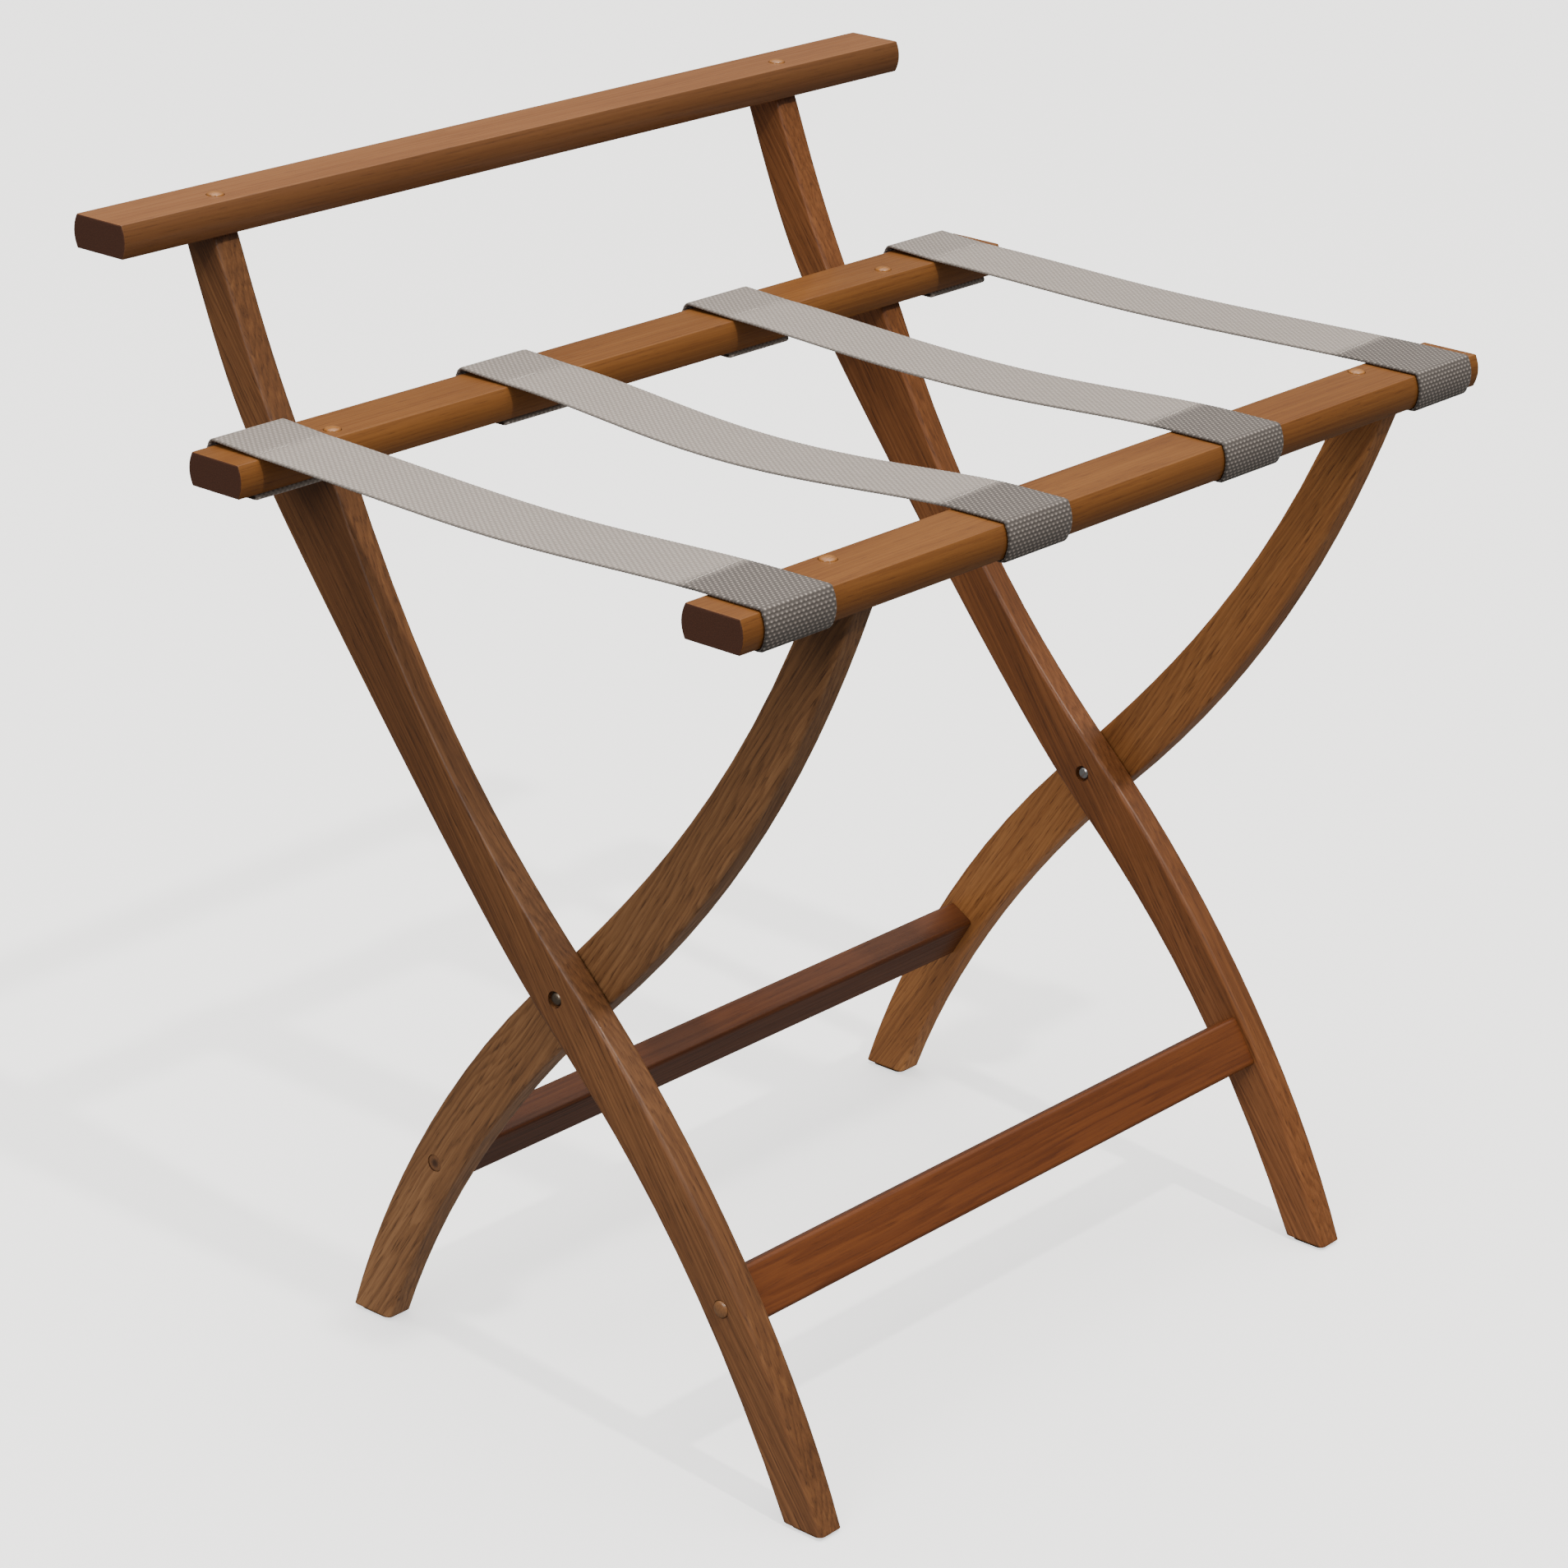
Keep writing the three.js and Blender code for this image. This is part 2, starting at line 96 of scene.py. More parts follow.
# ---------- webbing ----------
PICK = 2.1 * MM  # one woven row
YARN = 3.2 * MM  # two yarns side by side
RIB = 0.11 * MM
STRAP_THICK = 1.8 * MM
STRAP_GAP = 0.3 * MM
REAR_SLACK = 1.7 * MM  # how far the strap stands off the rear rail's far edge
RAIL_FLAT = 32.4 * MM
RAIL_BOW = 2.1 * MM
RAIL_EDGE = 0.9 * MM
TURN_STEPS = 8
BOW_STEPS = 20
UNDER = 31 * MM  # strap along a rail's underside
HEM = 13 * MM  # strap end folded back
HEM_GAP = 0.1 * MM
EDGE_ROOM = 0.7 * MM  # the strap is this much narrower than its CAD solid, for its scallops
SPAN_STEPS = 60
SAG = (4.5 * MM, 9 * MM, 6 * MM, 3 * MM)
SEAM_FROM_RAIL = (16 * MM, 6 * MM, 14 * MM, 18 * MM)  # front seam, inboard of the front rail
REAR_SEAM_FROM_RAIL = 2.5 * MM
SEAM_SLANTS = {"front": 0.08, "rear": 0.03}
STITCHES = 15
STITCH_MARGIN = 2.5 * MM
STITCH_SPAN = (0.075, 0.86)  # start and end of a stitch, as shares of its pitch
STITCH_RADIUS = 0.26 * MM
STITCH_LIFT = (0, 0, 0.22 * MM)
# The weave's opening below also sets the painted shade on the strap round the rails.
WEAVE_BLEND = 8 * MM  # length over which the weave opens
REAR_OPENING_AND_SHADE = 0.3  # how far the weave opens at the rear rail; it is 1 at the front
# The band's mesh columns, as shares of its half width, and the share of its thickness at each.
COLUMNS = np.array([-1, -0.985, -0.95, -0.6, -0.2, 0.2, 0.6, 0.95, 0.985, 1.0])
PLUMP = np.array([0.12, 0.62, 1, 1, 1, 1, 1, 1, 0.62, 0.12])
SELVEDGE = 0.96  # columns past this share are scalloped
SCALLOP = 0.28 * MM
# painted shade along the strap's side edges, where their thickness lies in shade:
RIM_SHADE = (23.9 * MM, 25.0 * MM)  # where the darker rim starts and is full, from the strap's middle

SIDES = ("left", "right")
FLUSH_PLUGS = ("plug_front_stretcher_right", "plug_rear_stretcher_left")


# ---------- mesh helpers ----------
def new_object(name, mesh):
    piece = bpy.data.objects.new(name, mesh)
    bpy.context.scene.collection.objects.link(piece)
    return piece


def mesh_from(name, points, faces):
    mesh = bpy.data.meshes.new(name)
    mesh.from_pydata([tuple(p) for p in points], [], faces)
    mesh.validate()
    return mesh


def smooth_by_angle(mesh, degrees):
    mesh.polygons.foreach_set("use_smooth", [True] * len(mesh.polygons))
    mesh.set_sharp_from_angle(angle=math.radians(degrees))


def apply_modifiers(piece):
    bpy.context.view_layer.update()
    graph = bpy.context.evaluated_depsgraph_get()
    final = bpy.data.meshes.new_from_object(piece.evaluated_get(graph))
    piece.modifiers.clear()
    piece.data = final


def finish_piece(piece, node, body, material):
    """The piece stands for the CAD node, moves with its body and takes one material."""
    piece.data.materials.clear()
    piece.data.materials.append(material)
    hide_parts(node)
    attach(piece, body)


def body_of(node):
    return frame["nodes"][node]["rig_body"]


def refined(node, material, degrees):
    """A smoothly shaded copy of a CAD node, joined along its facets, that stands for it."""
    bm = bmesh.new()
    bm.from_mesh(frame["nodes"][node].data)
    bmesh.ops.remove_doubles(bm, verts=bm.verts, dist=0.002 * MM)
    points = [v.co.copy() for v in bm.verts]
    faces = [[v.index for v in f.verts] for f in bm.faces]
    bm.free()
    mesh = mesh_from(node + "_finished", points, faces)
    smooth_by_angle(mesh, degrees)
    piece = new_object(node + "_finished", mesh)
    weighted = piece.modifiers.new("weighted", "WEIGHTED_NORMAL")
    weighted.keep_sharp = True
    weighted.weight = 80
    apply_modifiers(piece)
    finish_piece(piece, node, body_of(node), material)


def turned(name, profile, place, axis):
    """A closed turned piece: profile points are (radius, height) from one pole to the other."""
    sides = 40
    rings = profile[1:-1]
    points = [Vector((0, 0, profile[0][1]))]
    for r, h in rings:
        for k in range(sides):
            a = 2 * math.pi * k / sides
            points.append(Vector((r * math.cos(a), r * math.sin(a), h)))
    points.append(Vector((0, 0, profile[-1][1])))
    last = len(points) - 1
    faces = [[0, 1 + (k + 1) % sides, 1 + k] for k in range(sides)]
    for i in range(len(rings) - 1):
        for k in range(sides):
            a = 1 + i * sides + k
            b = 1 + i * sides + (k + 1) % sides
            faces.append([a, b, b + sides, a + sides])
    top = 1 + (len(rings) - 1) * sides
    faces += [[top + k, top + (k + 1) % sides, last] for k in range(sides)]
    turn = Vector((0, 0, 1)).rotation_difference(Vector(axis)).to_matrix().to_4x4()
    mesh = mesh_from(name, points, faces)
    smooth_by_angle(mesh, 35)
    mesh.transform(Matrix.Translation(place) @ turn)
    return new_object(name, mesh)


# ---------- material helpers ----------
class Tree:
    """Short calls that build one material's node tree."""

    def __init__(self, name):
        self.material = bpy.data.materials.new(name)
        self.material.use_nodes = True
        self.nodes = self.material.node_tree.nodes
        self.links = self.material.node_tree.links
        self.shader = self.nodes["Principled BSDF"]

    def add(self, kind, **settings):
        node = self.nodes.new("ShaderNode" + kind)
        for key, value in settings.items():
            setattr(node, key, value)
        return node

    def feed(self, socket, value):
        if isinstance(value, bpy.types.NodeSocket):
            self.links.new(value, socket)
        else:
            socket.default_value = value

    def math(self, operation, a, b=0.0, c=0.0, clamp=False):
        node = self.add("Math", operation=operation, use_clamp=clamp)
        for socket, value in zip(node.inputs, (a, b, c)):
            self.feed(socket, value)
        return node.outputs[0]

    def times(self, values, factors):
        return [self.math("MULTIPLY", value, factor) for value, factor in zip(values, factors)]

    def dot(self, vector, direction):
        node = self.add("VectorMath", operation="DOT_PRODUCT")
        self.feed(node.inputs[0], vector)
        node.inputs[1].default_value = direction
        return node.outputs["Value"]

    def vector(self, x, y, z):
        node = self.add("CombineXYZ")
        for socket, value in zip(node.inputs, (x, y, z)):
            self.feed(socket, value)
        return node.outputs[0]

    def noise(self, vector, scale=1.0, detail=2.0, roughness=0.5):
        node = self.add("TexNoise")
        self.feed(node.inputs["Vector"], vector)
        node.inputs["Scale"].default_value = scale
        node.inputs["Detail"].default_value = detail
        node.inputs["Roughness"].default_value = roughness
        return node.outputs["Fac"]

    def ramp(self, factor, stops):
        node = self.add("ValToRGB")
        self.feed(node.inputs[0], factor)
        elements = node.color_ramp.elements
        while len(elements) < len(stops):
            elements.new(0.5)
        for element, (place, color) in zip(elements, stops):
            element.position = place
            element.color = grey(color) if isinstance(color, (int, float)) else color
        return node.outputs[0]

    def span(self, value, low, high, to_low=0.0, to_high=1.0):
        node = self.add("MapRange")
        node.clamp = True
        for socket, v in zip(node.inputs, (value, low, high, to_low, to_high)):
            self.feed(socket, v)
        return node.outputs[0]

    def mix(self, factor, a, b, blend="MIX"):
        node = self.add("Mix", data_type="RGBA", blend_type=blend)
        self.feed(node.inputs[0], factor)
        self.feed(node.inputs[6], a)
        self.feed(node.inputs[7], b)
        return node.outputs[2]

    def bump(self, height, strength, distance):
        node = self.add("Bump")
        node.inputs["Strength"].default_value = strength
        node.inputs["Distance"].default_value = distance
        self.feed(node.inputs["Height"], height)
        self.feed(self.shader.inputs["Normal"], node.outputs[0])

    def set(self, **values):
        for key, value in values.items():
            self.feed(self.shader.inputs[key.replace("_", " ")], value)


def grey(v):
    return (v, v, v, 1.0)


def srgb(r, g, b):
    """A colour given as 0 to 255 display values, as the linear colour that shaders take."""
    out = []
    for c in (r, g, b):
        c = c / 255
        out.append(c / 12.92 if c <= 0.04045 else ((c + 0.055) / 1.055) ** 2.4)
    return (*out, 1.0)


# ---------- wood ----------
OAK_TONES = (srgb(84, 54, 34), srgb(117, 77, 47), srgb(152, 105, 66))
TAWNY_TONES = (srgb(94, 64, 42), srgb(131, 91, 58), srgb(162, 118, 79))
RUSSET_TONES = (srgb(92, 55, 31), srgb(125, 77, 43), srgb(156, 102, 62))
GOLDEN_TONES = (srgb(116, 73, 40), srgb(156, 102, 57), srgb(188, 130, 77))
BEECH_TONES = (srgb(116, 73, 42), srgb(135, 88, 51), srgb(147, 99, 60))
RAIL_TONES = (srgb(104, 61, 28), srgb(122, 77, 36), srgb(136, 89, 44))
STRETCHER_TONES = (srgb(80, 40, 19), srgb(100, 54, 25), srgb(114, 65, 32))
# the rear stretcher's tones, darkened as painted shade of the rails above it
PAINTED_SHADE_TONES = (srgb(68, 35, 17), srgb(88, 48, 24), srgb(102, 58, 30))
END_GRAIN = (srgb(68, 42, 32), srgb(88, 56, 42))
PORE = srgb(58, 34, 22)
YEAR = [(0.0, 0.1), (0.12, 0.0), (0.36, 0.55), (0.8, 1.0), (0.95, 0.75), (1.0, 0.1)]


def across_the_grain(t, place, grain, pith):
    """The distance along the grain, and two distances from the pith line across it."""
    side = grain.cross(Vector((1, 0, 0))) if abs(grain.x) < 0.7 else grain.cross(Vector((0, 0, 1)))
    side.normalize()
    other = grain.cross(side)
    a = t.math("SUBTRACT", t.dot(place, side), pith.dot(side))
    b = t.math("SUBTRACT", t.dot(place, other), pith.dot(other))
    return t.dot(place, grain), a, b


def growth_rings(t, along, a, b, ring, sway, seed):
    """0 in a year's early wood and 1 in its late wood: rings round the pith that wander slowly."""
    drift = t.noise(t.vector(*t.times((along, a), (3.2, 16)), seed), 1, 2)
    wave = t.noise(t.vector(*t.times((along, b), (14, 60)), seed + 7), 1, 3)
    uneven = t.noise(t.vector(*t.times((along, a, b), (2, 150, 150))), 1, 2)
    radius = t.math("SQRT", t.math("ADD", t.math("MULTIPLY", a, a), t.math("MULTIPLY", b, b)))
    rings = t.math("DIVIDE", radius, ring * MM)
    for wander, share in ((drift, 9.0 * sway), (wave, 1.1 * sway), (uneven, 3.4)):
        rings = t.math("MULTIPLY_ADD", wander, share, rings)
    return t.ramp(t.math("FRACT", rings), YEAR)


def end_grain(t, color, facing, a, b):
    """Darker, speckled colour on the faces that cut across the fibres."""
    speckle = t.noise(t.vector(*t.times((a, b), (2200, 2200)), 0.0), 1, 2)
    cut = t.mix(t.span(speckle, 0.35, 0.7), *END_GRAIN)
    return t.mix(t.span(facing, 0.72, 0.95), color, cut)


def wood(name, grain, pith, tones, ring, contrast, pores, sway, seed, painted_face_shade=1.0):
    """Sawn, stained and lacquered wood with real growth rings about a pith line.

    grain is the way the fibres run, pith a point on the tree's centre line, tones its dark,
    middle and light colour, ring the ring width in millimetres, contrast that of the rings,
    pores the strength of the short dark pores and sway how much the rings wander. The last
    argument is the share of brightness that the front and back faces keep: they are painted
    darker than the top, as painted shade.
    """
    t = Tree(name)
    coordinates = t.add("TexCoord")
    normal = coordinates.outputs["Normal"]
    grain = Vector(grain).normalized()
    along, a, b = across_the_grain(t, coordinates.outputs["Object"], grain, Vector(pith))
    year = growth_rings(t, along, a, b, ring, sway, seed)

    # fibres and pores: noise drawn out along the grain
    fibre = t.noise(t.vector(*t.times((along, a, b), (9, 620, 620))), 1, 4, 0.62)
    pore = t.noise(t.vector(*t.times((along, a, b), (75, 1500, 1500))), 1, 2, 0.6)
    pore = t.ramp(pore, [(0.55, 0.0), (0.68, 1.0)])
    broad = t.noise(t.vector(*t.times((along, a), (5, 45)), seed + 3), 1, 2)

    tone = t.math("MULTIPLY_ADD", year, contrast, (1 - contrast) * 0.5)
    tone = t.math("MULTIPLY_ADD", t.math("SUBTRACT", fibre, 0.5), 1.05, tone)
    tone = t.math("MULTIPLY_ADD", t.math("SUBTRACT", broad, 0.5), 0.85, tone, clamp=True)
    color = t.ramp(tone, [(0.0, tones[0]), (0.5, tones[1]), (1.0, tones[2])])
    early = t.math("SUBTRACT", 1.0, year)
    pore_share = t.math("MULTIPLY", pore, t.math("MULTIPLY_ADD", early, 0.75 * pores, 0.25 * pores))
    color = t.mix(pore_share, color, tones[0])
    color = t.mix(t.math("MULTIPLY", pore_share, 0.5), color, PORE)
    # painted shade: the front and back faces are darkened to stand for the lesser light they get than
    # the top
    if painted_face_shade < 1:
        shaded_faces = t.span(t.math("ABSOLUTE", t.dot(normal, (0, 1, 0))), 0.3, 0.8)
        color = t.mix(shaded_faces, color, t.mix(1.0, color, grey(painted_face_shade), "MULTIPLY"))
    color = end_grain(t, color, t.math("ABSOLUTE", t.dot(normal, grain)), a, b)

    t.set(Base_Color=color, Roughness=t.span(fibre, 0.3, 0.7, 0.5, 0.34))
    t.set(Coat_Weight=0.2, Coat_Roughness=0.18, Specular_IOR_Level=0.25)
    height = t.math("MULTIPLY_ADD", pore, -0.8, t.math("MULTIPLY", fibre, 0.5))
    t.bump(height, 0.3, 0.12 * MM)
    return t.material


# ---------- webbing, thread, metal and the rest ----------
def webbing():
    """Close-woven flat webbing: staggered yarn crowns placed by the strap's own weave attribute.

    The weave looks close along the span and opens where the strap turns round a rail, most at
    the front one. The colour follows the weave's height: crowns lighter as painted highlights,
    gaps darker as painted shade, and round the rails darker still, partly a coarser weave look
    and partly painted shade.
    """
    t = Tree("webbing")
    place = t.add("Attribute", attribute_name="weave", attribute_type="GEOMETRY").outputs["Vector"]
    split = t.add("SeparateXYZ")
    t.feed(split.inputs[0], place)
    across, along, open_weave_and_shade = split.outputs
    bend = t.noise(t.vector(*t.times((across, along), (120, 30)), 0.0), 1, 2)
    u = t.math("MULTIPLY", across, 2 * math.pi / YARN)
    v = t.math("MULTIPLY", along, math.pi / PICK)
    u = t.math("MULTIPLY_ADD", bend, 1.2, u)
    crown = t.math("MULTIPLY", t.math("COSINE", u), t.math("COSINE", v))
    crown = t.math("ADD", t.math("MULTIPLY", crown, 0.5), 0.5)
    row = t.math("ADD", t.math("MULTIPLY", t.math("COSINE", t.math("MULTIPLY", v, 2.0)), 0.5), 0.5)
    height = t.math("ADD", t.math("MULTIPLY", crown, 0.65), t.math("MULTIPLY", row, 0.35))
    fuzz = t.noise(t.vector(*t.times((across, along), (5200, 2600)), 0.0), 1, 2)
    streak = t.noise(t.vector(*t.times((across, along), (420, 9)), 0.0), 1, 3)
    # painted highlight on the yarn crowns and painted shade in the gaps; the ramp for the weave round
    # the rails is darker, partly painted shade
    flat = t.ramp(height, [
        (0.05, srgb(108, 100, 94)), (0.4, srgb(146, 137, 130)), (0.9, srgb(180, 171, 164))])
    bent_shaded = t.ramp(height, [
        (0.1, srgb(50, 46, 44)), (0.5, srgb(88, 81, 77)), (0.8, srgb(112, 104, 99)),
        (0.96, srgb(176, 166, 158))])
    color = t.mix(open_weave_and_shade, flat, bent_shaded)
    color = t.mix(t.span(streak, 0.3, 0.7, 0.0, 0.22), color, t.mix(0.5, color, srgb(96, 88, 82)))
    color = t.mix(t.span(fuzz, 0.4, 0.75, 0.0, 0.14), color, srgb(206, 199, 192))
    # painted shade darkens the strap along its side edges
    rim_shade = t.span(t.math("ABSOLUTE", across), *RIM_SHADE)
    color = t.mix(rim_shade, color, t.mix(1.0, color, grey(0.45), "MULTIPLY"))
    t.set(Base_Color=color)
    t.set(Roughness=t.span(height, 0.2, 0.9, 0.8, 0.5))
    t.set(Sheen_Weight=0.15, Sheen_Roughness=0.4, Specular_IOR_Level=0.4)
    t.bump(t.math("MULTIPLY_ADD", fuzz, 0.15, height), 0.8, 0.3 * MM)
    return t.material


def thread():
    t = Tree("thread")
    place = t.add("TexCoord").outputs["Object"]
    twist = t.noise(place, 4200, 2)
    t.set(Base_Color=t.mix(twist, srgb(170, 162, 154), srgb(220, 214, 207)), Roughness=0.6)
    t.bump(twist, 0.4, 0.1 * MM)
    return t.material


def metal(name, dark, light, low, high):
    """Bare or plated metal with fine scratches and slight colour change."""
    t = Tree(name)
    place = t.add("TexCoord").outputs["Object"]
    fine = t.noise(place, 900, 3, 0.6)
    broad = t.noise(place, 90, 2)
    t.set(Base_Color=t.mix(broad, dark, light), Metallic=1.0)
    t.set(Roughness=t.span(fine, 0.3, 0.7, low, high))
    t.bump(fine, 0.12, 0.05 * MM)
    return t.material


def button(name, dark, light, eye=None):
    """Turned wooden button: face grain across a small dome, lacquered.

    Where eye is given, the button is a filled screw hole with a dark middle on that point.
    """
    t = Tree(name)
    place = t.add("TexCoord").outputs["Object"]
    x, y, z = (t.dot(place, d) for d in ((1, 0, 0), (0, 1, 0), (0, 0, 1)))
    fibre = t.noise(t.vector(*t.times((x, y, z), (160, 1300, 700))), 1, 3, 0.6)
    color = t.ramp(fibre, [(0.3, dark), (0.7, light)])
    if eye:
        away = t.add("VectorMath", operation="DISTANCE")
        t.feed(away.inputs[0], place)
        away.inputs[1].default_value = eye
        middle = t.span(away.outputs["Value"], 1.2 * MM, 3.2 * MM, 0.85, 0.0)
        color = t.mix(middle, color, srgb(58, 38, 26))
    t.set(Base_Color=color)
    t.set(Roughness=t.span(fibre, 0.3, 0.7, 0.36, 0.26))
    t.set(Coat_Weight=0.2 if eye else 0.4, Coat_Roughness=0.1)
    t.bump(fibre, 0.2, 0.06 * MM)
    return t.material


def matt(name, dark, light, scale, roughness):
    """Felt, rubber or nylon: fine mottling and grain."""
    t = Tree(name)
    place = t.add("TexCoord").outputs["Object"]
    grain = t.noise(place, scale, 4, 0.65)
    t.set(Base_Color=t.ramp(grain, [(0.3, dark), (0.7, light)]))
    t.set(Roughness=t.span(grain, 0.3, 0.7, roughness, roughness - 0.12))
    t.bump(grain, 0.35, 0.12 * MM)
    return t.material


# ---------- frame timber ----------
def middle_of(points):
    return sum(points, Vector()) / len(points)


def leg_grain(node):
    """The way a leg's fibres run, foot to top in the side plane, and the leg's middle."""
    points = [v.co for v in frame["nodes"][node].data.vertices]
    low, high = min(p.z for p in points), max(p.z for p in points)
    foot = middle_of([p for p in points if p.z < low + 2 * MM])
    top = middle_of([p for p in points if p.z > high - 2 * MM])
    line = top - foot
    line.x = 0
    return line.normalized(), middle_of(points)


def legs():
    """Each leg's pith, beside and behind its middle, and its own look."""
    # The share for the front and back faces given to the long legs darkens them as painted shade.
    looks = {
        "long_leg_left": ((0.055, 0.11), {
            "tones": OAK_TONES, "ring": 2.4, "contrast": 0.22, "sway": 0.8, "seed": 1.3,
            "painted_face_shade": 0.8}),
        "long_leg_right": ((-0.07, 0.13), {
            "tones": RUSSET_TONES, "ring": 2.8, "contrast": 0.22, "sway": 0.8, "seed": 4.1,
            "painted_face_shade": 0.8}),
        "short_leg_left": ((-0.03, -0.05), {
            "tones": TAWNY_TONES, "ring": 3.4, "contrast": 0.3, "sway": 2.2, "seed": 8.7}),
        "short_leg_right": ((-0.05, -0.09), {
            "tones": GOLDEN_TONES, "ring": 2.6, "contrast": 0.22, "sway": 1.4, "seed": 12.9}),
    }
    for node, ((beside, behind), look) in looks.items():
        grain, centre = leg_grain(node)
        material = wood(node + "_oak", grain, centre + Vector((beside, behind, 0)), pores=0.8, **look)
        refined(node, material, 36)


def bars():
    # The share for the front and back faces given to the top bar darkens them as painted shade.
    looks = {
        "top_bar": {"tones": BEECH_TONES, "ring": 2.6, "contrast": 0.16, "pores": 0.4, "seed": 2.2,
                    "painted_face_shade": 0.62},
        "rear_seat_rail": {
            "tones": RAIL_TONES, "ring": 2.4, "contrast": 0.18, "pores": 0.45, "seed": 5.5},
        "front_seat_rail": {
            "tones": RAIL_TONES, "ring": 2.8, "contrast": 0.2, "pores": 0.5, "seed": 9.1},
        "front_stretcher": {
            "tones": STRETCHER_TONES, "ring": 5.0, "contrast": 0.4, "pores": 0.5, "seed": 3.3},
        # painted shade: the rear stretcher's tones are darkened for the shadow of the rails above it
        "rear_stretcher": {
            "tones": PAINTED_SHADE_TONES, "ring": 4.0, "contrast": 0.3, "pores": 0.5, "seed": 6.6},
    }
    for node, look in looks.items():
        low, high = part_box(node)
        pith = (low + high) / 2 + Vector((0, 0.05, -0.16))
        material = wood(node + "_timber", (1, 0.004, 0.003), pith, sway=0.6, **look)
        refined(node, material, 33)


# ---------- plugs, pins and glides ----------
def dome(radius, low, base, rise):
    """Profile of a plug: flat underside, straight side and a low dome."""
    steps = 9
    profile = [(0, low), (radius - 0.4 * MM, low), (radius, low + 0.4 * MM), (radius, base)]
    for i in range(1, steps):
        a = math.pi / 2 * i / steps
        profile.append((radius * math.cos(a), base + rise * math.sin(a)))
    profile.append((0, base + rise))
    return profile


def facing_of(node):
    """Outward direction of a plug, and the point of the wood's surface on its axis."""
    low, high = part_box(node)
    size = high - low
    centre = (low + high) / 2
    if size.x < size.y - 0.5 * MM:
        outward = Vector((math.copysign(1, centre.x), 0, 0))
        tip = high.x if outward.x > 0 else low.x
        return outward, Vector((tip, centre.y, centre.z))
    return Vector((0, 0, 1)), Vector((centre.x, centre.y, high.z))


def plugs():
    light = button("button_light", srgb(130, 80, 32), srgb(170, 112, 50))
    plain = button("button_plain", srgb(112, 76, 46), srgb(142, 98, 60))
    for node in [n for n in frame["nodes"] if n.startswith("plug_")]:
        flush = node in FLUSH_PLUGS
        low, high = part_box(node)
        outward, tip = facing_of(node)
        radius = (high - low).y / 2
        length = abs((high - low).dot(outward))
        rise = 0.3 * MM if flush else 1.7 * MM
        piece = turned(node + "_finished", dome(radius, -length, -rise, rise), tip, outward)
        look = light if outward.z > 0.5 else plain
        if flush:
            look = button(node + "_filled", srgb(104, 70, 45), srgb(136, 94, 60), eye=tuple(tip))
        finish_piece(piece, node, body_of(node), look)


def pivots():
    bright = metal("pin_bright", srgb(196, 198, 200), srgb(226, 227, 228), 0.12, 0.26)
    # the left pins take a darker, browner and rougher metal than the right ones
    dull = metal("pin_worn", srgb(120, 104, 88), srgb(160, 146, 130), 0.28, 0.45)
    nylon = matt("washer_nylon", srgb(34, 32, 30), srgb(52, 49, 46), 900, 0.55)
    for side in SIDES:
        finish = dull if side == "left" else bright
        for kind in ("pin", "cap"):
            refined(f"pivot_{kind}_{side}", finish if kind == "pin" else bright, 50)
        refined(f"pivot_washer_{side}", nylon, 50)


def hardware():
    zinc = metal("zinc", srgb(140, 140, 138), srgb(176, 176, 172), 0.3, 0.5)
    felt = matt("glide_felt", srgb(30, 25, 22), srgb(54, 46, 40), 1600, 0.95)
    for node in frame["nodes"]:
        if node.startswith(("screw_", "staple_")):
            refined(node, zinc, 40)
        if node.startswith("glide_"):
            refined(node, felt, 40)


# ---------- straps ----------
def rail_frame(node):
    """A rail's centre depth, underside, top and centre height, from its CAD box."""
    low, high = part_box(node)
    return {"y": (low.y + high.y) / 2, "low": low.z, "top": high.z, "mid": (low.z + high.z) / 2}


def outer_side(rail, side, out):
    """The bowed outer side of a rail at distance out, from its underside to its top."""
    chord = rail["top"] - rail["low"] - 2 * RAIL_EDGE
    bow_radius = chord ** 2 / (8 * RAIL_BOW) + RAIL_BOW / 2
    bow_angle = math.asin(chord / 2 / bow_radius)
    half = (rail["top"] - rail["low"]) / 2
    arc_y = rail["y"] + side * (RAIL_FLAT / 2 + RAIL_EDGE + RAIL_BOW - bow_radius)
    corner_y = rail["y"] + side * RAIL_FLAT / 2
    points = []
    for up in (-1, 1):
        turn = []
        for i in range(TURN_STEPS + 1):
            a = math.pi / 2 + (bow_angle - math.pi / 2) * i / TURN_STEPS
            reach = RAIL_EDGE + out
            turn.append((corner_y + side * reach * math.cos(a),
                         rail["mid"] + up * (half - RAIL_EDGE + reach * math.sin(a))))
        points.append(turn if up < 0 else turn[::-1])
    bulge = []
    for i in range(1, BOW_STEPS):
        a = -bow_angle + 2 * bow_angle * i / BOW_STEPS
        bulge.append((arc_y + side * (bow_radius + out) * math.cos(a),
                      rail["mid"] + (bow_radius + out) * math.sin(a)))
    return points[0] + bulge + points[1]


def hem(y, z, side):
    """A strap end folded back under itself: side is the way from the rail's far side to the end."""
    bend = STRAP_THICK / 2 + HEM_GAP
    fold = [(y - side * HEM, z - 2 * bend)]
    for i in range(TURN_STEPS + 1):
        a = -math.pi / 2 + math.pi * i / TURN_STEPS
        fold.append((y - side * bend + side * bend * math.cos(a), z - bend + bend * math.sin(a)))
    return fold


